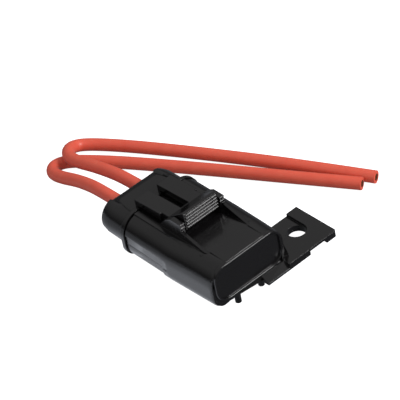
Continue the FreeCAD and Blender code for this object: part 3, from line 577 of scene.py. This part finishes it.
# %% Routes of the leads
LEAD_RADIUS = 0.0023
LEFT_LENGTH, RIGHT_LENGTH = 0.184, 0.186
left_points = [
    (-0.00705, -0.01395, 0.0120), (-0.03755, -0.01395, 0.0120), (-0.05385, -0.01275, 0.0088),
    (-0.06995, -0.01435, 0.0042), (-0.07525, -0.01125, 0.0034), (-0.07515, -0.00575, 0.0025),
    (-0.06815, 0.00010, 0.0023), (-0.05720, 0.00750, 0.0023), (-0.03350, 0.02150, 0.0023),
    (-0.00800, 0.03595, 0.0023), (0.01735, 0.05045, 0.0023)]
right_points = [
    (-0.00705, -0.00415, 0.0120), (-0.03755, -0.00415, 0.0120), (-0.05355, -0.00475, 0.0098),
    (-0.06905, -0.00665, 0.0068), (-0.07515, -0.00385, 0.0060), (-0.07845, 0.00215, 0.0032),
    (-0.07275, 0.00845, 0.0023), (-0.05625, 0.01835, 0.0023), (-0.02725, 0.03375, 0.0023),
    (-0.00355, 0.04555, 0.0023), (0.01875, 0.05585, 0.0023)]


def draw_lead(name, points):
    """Smooth curve through the lead's route, as thick as its insulation."""
    curve = bpy.data.curves.new(name, "CURVE")
    curve.dimensions = "3D"
    curve.resolution_u = 16
    curve.bevel_depth = LEAD_RADIUS
    curve.bevel_resolution = 8
    curve.use_fill_caps = True
    route = curve.splines.new("NURBS")
    route.points.add(len(points) - 1)
    for point, place in zip(route.points, points):
        point.co = (*place, 1)
    route.order_u = 3
    route.use_endpoint_u = True
    lead = bpy.data.objects.new(name, curve)
    bpy.context.scene.collection.objects.link(lead)
    return lead


# %% Insulation
MOTTLE_PER_METRE = 260.0
SKIN_MARKS_PER_METRE = 5200.0
pvc, tree, output = new_finish("red_pvc_insulation")
place = add_node(tree, "ShaderNodeTexCoord")
mottle = add_node(tree, "ShaderNodeTexNoise", Vector=place.outputs["Object"],
                  Scale=MOTTLE_PER_METRE, Detail=2.0)
skin = add_node(tree, "ShaderNodeTexNoise", Vector=place.outputs["Object"],
                Scale=SKIN_MARKS_PER_METRE, Detail=2.0)
tint = add_node(tree, "ShaderNodeMix", {"data_type": "RGBA"}, Factor=mottle.outputs["Fac"],
                at6=linear("#D4503C"), at7=linear("#DE5F48"))
rough = add_node(tree, "ShaderNodeBump", Strength=0.08, Distance=0.00003,
                 Height=skin.outputs["Fac"])
insulation = add_node(tree, "ShaderNodeBsdfPrincipled", Base_Color=tint.outputs[2],
                      Roughness=0.42, IOR=1.5, Subsurface_Weight=0.12, Subsurface_Scale=0.001,
                      Normal=rough.outputs["Normal"])
show_surface(tree, output, insulation)

# %% [markdown]
# ## Cut ends of the wires
#
# Each lead was snipped off square, and its copper strands show flush in the insulation. A round
# disc with dots on it would look flat from the side, so one short wire is drawn, its end domed by
# an inset, and copies of it are packed in a six-sided bundle, as strands lie in a real cable.

# %% Strands
STRAND_PITCH, STRAND_LENGTH, STRAND_SINKS = 0.00052, 0.0006, 0.00018
DOME_EDGE, DOME_RISE = 0.00008, 0.00005
ROWS_ASIDE = 2
ROW_STEP = 0.866


def draw_strand():
    """One short wire upright at the origin, with a domed end."""
    bpy.ops.object.select_all(action="DESELECT")
    bpy.ops.mesh.primitive_cylinder_add(vertices=10, radius=STRAND_PITCH / 2, depth=STRAND_LENGTH,
                                        location=(0, 0, -STRAND_SINKS))
    strand = bpy.context.object
    bpy.ops.object.transform_apply(location=True, rotation=False, scale=False)
    for part in (strand.data.vertices, strand.data.edges, strand.data.polygons):
        for item in part:
            item.select = False
    for face in strand.data.polygons:
        face.select = face.normal.z > 0.9
    bpy.context.tool_settings.mesh_select_mode = (False, False, True)
    bpy.ops.object.mode_set(mode="EDIT")
    bpy.ops.mesh.inset(thickness=DOME_EDGE)
    bpy.ops.transform.translate(value=(0, 0, DOME_RISE))
    bpy.ops.object.mode_set(mode="OBJECT")
    strand.select_set(True)
    return strand


def cut_strands(name, end, before):
    """Bundle of copper wires that shows flush in the cut end of a lead."""
    strand = draw_strand()
    for row in range(-ROWS_ASIDE, ROWS_ASIDE + 1):
        for place in range(-ROWS_ASIDE, ROWS_ASIDE + 1):
            if abs(row + place) <= ROWS_ASIDE and (row or place):
                copy = strand.copy()
                copy.data = strand.data.copy()
                bpy.context.scene.collection.objects.link(copy)
                copy.location = (STRAND_PITCH * (place + row / 2), STRAND_PITCH * row * ROW_STEP, 0)
                copy.select_set(True)
    bpy.context.view_layer.objects.active = strand
    bpy.ops.object.join()
    strand.name = strand.data.name = name
    turned = (Vector(end) - Vector(before)).normalized().to_track_quat("Z", "Y")
    strand.matrix_world = Matrix.Translation(end) @ turned.to_matrix().to_4x4()
    bpy.ops.object.transform_apply(location=True, rotation=True, scale=False)
    strand.data.materials.append(bunched_copper)
    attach(strand, "holder")
    print(name, len(strand.data.polygons), "faces")
    return strand


# %% Both leads with their cut ends
for name, points, length in (("left", left_points, LEFT_LENGTH),
                             ("right", right_points, RIGHT_LENGTH)):
    lead = draw_lead(f"insulated_{name}_lead", points)
    lead.data.materials.append(pvc)
    lead.visible_glossy = False
    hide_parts(f"lead_{name}")
    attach(lead, "holder")
    strands = cut_strands(f"cut_{name}_strands", points[-1], points[-2])

# %% [markdown]
# ## Table and light
# The object stands on a white table that fades into a white background. The camera sees both as
# plain white, while the light that they throw on the object stays mild. The black gloss is what
# shows the studio: in the picture it mirrors a bright table only low on the long flank, less
# towards the leads, and a dim room elsewhere. Real dark cards could stand round the object for
# that. Here the table and the room get their own brightness for reflections, by place, which
# leaves the shadows alone. On the table this is a painted reflection: in the gloss it glows, lit
# left of the front and before the flank, with painted shade elsewhere and less towards the leads.

# %% Table as the camera sees it
bpy.ops.mesh.primitive_plane_add(size=6, location=(0, 0, 0))
table = bpy.context.object
table.name = "table"
white_table, tree, output = new_finish("white_studio_table")
path = add_node(tree, "ShaderNodeLightPath")
pale = add_node(tree, "ShaderNodeBsdfDiffuse", Color=linear("#B0B0B4"))
glow = add_node(tree, "ShaderNodeEmission", Color=(1, 1, 1, 1),
                Strength=path.outputs["Is Camera Ray"])
seen_table = add_node(tree, "ShaderNodeAddShader", at0=pale.outputs[0], at1=glow.outputs[0])

# %% Table as the gloss mirrors it
# Painted reflection: glossy rays see the table glow, bright left of the front and before the flank,
# dimmer towards the leads, with painted shade elsewhere
DIAGONAL = (0.7071, 0.7071, 0)
DARK_BEFORE_FRONT, LIT_LEFT_OF_FRONT = 0.014, 0.004
DARK_UNDER_FLANK, LIT_BEFORE_FLANK = -0.021, -0.026
FADED_AT_LEADS, LIT_AT_NOSE, FADED_SHARE = -0.05, -0.02, 0.4
SHADED_TABLE, LIT_TABLE = 0.14, 1.05
SMOOTH = {"interpolation_type": "SMOOTHSTEP"}
MULTIPLY = {"operation": "MULTIPLY"}
place = add_node(tree, "ShaderNodeTexCoord")
across = add_node(tree, "ShaderNodeVectorMath", {"operation": "DOT_PRODUCT"},
                  at0=place.outputs["Object"], at1=DIAGONAL)
left_of_front = add_node(tree, "ShaderNodeMapRange", SMOOTH, Value=across.outputs["Value"],
                         From_Min=DARK_BEFORE_FRONT, From_Max=LIT_LEFT_OF_FRONT)
apart = add_node(tree, "ShaderNodeSeparateXYZ", Vector=place.outputs["Object"])
before_flank = add_node(tree, "ShaderNodeMapRange", SMOOTH, Value=apart.outputs["Y"],
                        From_Min=DARK_UNDER_FLANK, From_Max=LIT_BEFORE_FLANK)
bright = add_node(tree, "ShaderNodeMath", MULTIPLY, at0=left_of_front.outputs["Result"],
                  at1=before_flank.outputs["Result"])
beside_nose = add_node(tree, "ShaderNodeMapRange", SMOOTH, Value=apart.outputs["X"],
                       From_Min=FADED_AT_LEADS, From_Max=LIT_AT_NOSE, To_Min=FADED_SHARE)
lit = add_node(tree, "ShaderNodeMath", MULTIPLY, at0=bright.outputs[0],
               at1=beside_nose.outputs["Result"])
fall = add_node(tree, "ShaderNodeMapRange", Value=lit.outputs[0], To_Min=SHADED_TABLE,
                To_Max=LIT_TABLE)
painted_reflection = add_node(tree, "ShaderNodeEmission", Color=linear("#F2F6FF"),
                    Strength=fall.outputs["Result"])
both = add_node(tree, "ShaderNodeMixShader", at0=path.outputs["Is Glossy Ray"],
                at1=seen_table.outputs[0], at2=painted_reflection.outputs[0])
show_surface(tree, output, both)
table.data.materials.append(white_table)

# %% Room
ROOM_LIGHT = 0.6
WALLS_IN_GLOSS, CEILING_IN_GLOSS = 0.07, 0.42
WALLS_END, CEILING_STARTS = 0.12, 0.62
world = bpy.data.worlds.new("studio")
bpy.context.scene.world = world
world.use_nodes = True
tree = world.node_tree
tree.nodes.clear()
output = tree.nodes.new("ShaderNodeOutputWorld")
path = add_node(tree, "ShaderNodeLightPath")
sky = add_node(tree, "ShaderNodeTexCoord")
height = add_node(tree, "ShaderNodeSeparateXYZ", Vector=sky.outputs["Generated"])
gloss_room = add_node(tree, "ShaderNodeMapRange", Value=height.outputs["Z"], From_Min=WALLS_END,
                      From_Max=CEILING_STARTS, To_Min=WALLS_IN_GLOSS, To_Max=CEILING_IN_GLOSS)
in_gloss = add_node(tree, "ShaderNodeMix", {"data_type": "FLOAT"},
                    at0=path.outputs["Is Glossy Ray"], at2=ROOM_LIGHT,
                    at3=gloss_room.outputs["Result"])
seen = add_node(tree, "ShaderNodeMath", {"operation": "MAXIMUM"},
                at0=path.outputs["Is Camera Ray"], at1=in_gloss.outputs[0])
room = add_node(tree, "ShaderNodeBackground", Color=(1, 1, 1, 1), Strength=seen.outputs[0])
show_surface(tree, output, room)

# %% [markdown]
# ## Lamp
#
# One large softbox stands to the right of the camera and a little higher, as for most product
# pictures on white. A bare bulb would give hard points of light on every edge. A wide square
# gives the broad soft streaks on shoulders and leads.

# %% Softbox
LAMP_PLACE, LAMP_AIM = (0.62, 0.45, 0.60), (0, 0, 0.01)
lamp_data = bpy.data.lights.new("front_softbox", "AREA")
lamp_data.size = 0.42
lamp_data.energy = 8
lamp = bpy.data.objects.new("front_softbox", lamp_data)
bpy.context.scene.collection.objects.link(lamp)
lamp.location = LAMP_PLACE
lamp.rotation_euler = (Vector(LAMP_AIM) - Vector(LAMP_PLACE)).to_track_quat("-Z", "Y").to_euler()

bpy.context.scene.view_settings.view_transform = "Standard"
